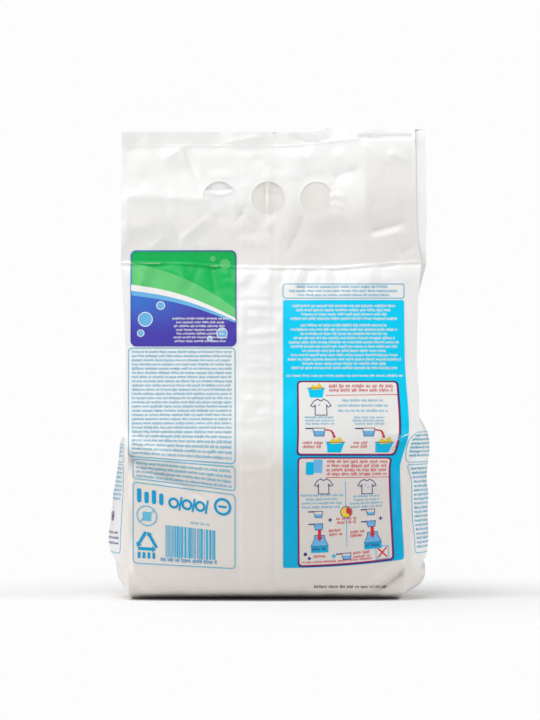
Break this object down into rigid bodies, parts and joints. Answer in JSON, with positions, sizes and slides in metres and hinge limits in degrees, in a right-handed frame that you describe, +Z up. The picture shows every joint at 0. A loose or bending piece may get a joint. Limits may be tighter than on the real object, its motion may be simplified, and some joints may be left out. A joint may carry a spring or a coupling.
{
  "type": "washing powder bag",
  "caption": "Sealed side-gusseted film bag of washing powder with a flat carrying flap and perforated finger tabs.",
  "frame": {"origin": "centre of the bag's box at the base it stands on", "axes": "+Z up, +X across the printed back panel to its right, the printed back panel faces -Y"},
  "size_m": [0.2091, 0.1011, 0.303],
  "materials": {
    "bag_film": "glossy white polyethylene film"
  },
  "bodies": {
    "root": {"powder_bag": "bag_film"}
  },
  "joints": []
}
